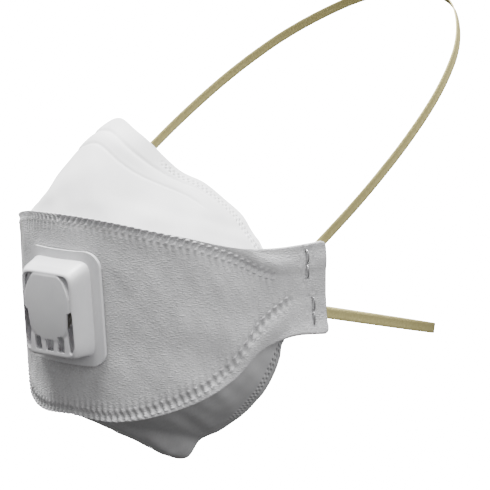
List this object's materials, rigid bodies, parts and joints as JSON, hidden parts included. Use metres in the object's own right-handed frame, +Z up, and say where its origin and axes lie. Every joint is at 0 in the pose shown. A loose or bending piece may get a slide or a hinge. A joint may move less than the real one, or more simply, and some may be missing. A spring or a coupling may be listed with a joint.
{
  "type": "disposable dust mask",
  "caption": "Flat-fold filtering dust mask in its worn shape, with panels, exhalation valve, nose clip and elastic head straps.",
  "frame": {"origin": "midway between the two side tabs, in the plane of the face seal", "axes": "+Z up, the front of the mask faces -Y, +X is the wearer's left"},
  "size_m": [0.1518, 0.2359, 0.2039],
  "materials": {
    "web_light": "smooth white spunbond nonwoven",
    "web_mid": "crinkle-embossed white spunbond nonwoven",
    "web_dark": "smooth white spunbond nonwoven",
    "web_inner": "soft white inner web",
    "filter_media": "meltblown filter media",
    "stiffener_net": "stiff bonded net",
    "clip_metal": "soft annealed strip",
    "foam": "closed-cell white foam",
    "valve_plastic": "satin white moulded plastic",
    "flap_rubber": "thin pale rubber",
    "strap_elastic": "pale khaki elastic band",
    "staple_steel": "bright staple wire"
  },
  "bodies": {
    "mask_body": {"centre_outer_web": "web_mid", "centre_filter": "filter_media", "centre_stiffener": "stiffener_net", "centre_inner_web": "web_inner", "valve_seat": "valve_plastic", "valve_cover": "valve_plastic", "staple_upper_left": "staple_steel", "staple_upper_right": "staple_steel", "staple_lower_left": "staple_steel", "staple_lower_right": "staple_steel"},
    "valve_flap": {"valve_flap": "flap_rubber"},
    "top_panel": {"top_outer_web": "web_light", "top_filter": "filter_media", "top_inner_web": "web_inner", "nose_clip": "clip_metal", "nose_foam": "foam"},
    "chin_panel": {"chin_outer_web": "web_dark", "chin_filter": "filter_media", "chin_inner_web": "web_inner"},
    "upper_strap": {"upper_strap": "strap_elastic"},
    "lower_strap": {"lower_strap": "strap_elastic"}
  },
  "joints": [
    {"name": "valve_flap_hinge", "type": "hinge", "parent": "mask_body", "child": "valve_flap", "pos_m": [0, -0.08702, 0.00266], "axis": [-1, 0, 0], "range_deg": [0, 12], "stiffness_Nm_per_rad": 0.0005, "springref_deg": -11.46},
    {"name": "top_panel_flex", "type": "hinge", "parent": "mask_body", "child": "top_panel", "pos_m": [0, -0.0829, 0.0307], "axis": [1, 0, 0], "range_deg": [0, 8], "stiffness_Nm_per_rad": 0.05, "springref_deg": -8.59},
    {"name": "chin_panel_flex", "type": "hinge", "parent": "mask_body", "child": "chin_panel", "pos_m": [0, -0.0759, -0.0533], "axis": [-1, 0, 0], "range_deg": [0, 5], "stiffness_Nm_per_rad": 0.05, "springref_deg": -8.59},
    {"name": "upper_strap_swing", "type": "hinge", "parent": "mask_body", "child": "upper_strap", "pos_m": [0, -0.0096, 0.0106], "axis": [1, 0, 0], "range_deg": [-15, 20]},
    {"name": "lower_strap_swing", "type": "hinge", "parent": "mask_body", "child": "lower_strap", "pos_m": [0, -0.006, -0.01], "axis": [1, 0, 0], "range_deg": [-12, 12]}
  ]
}
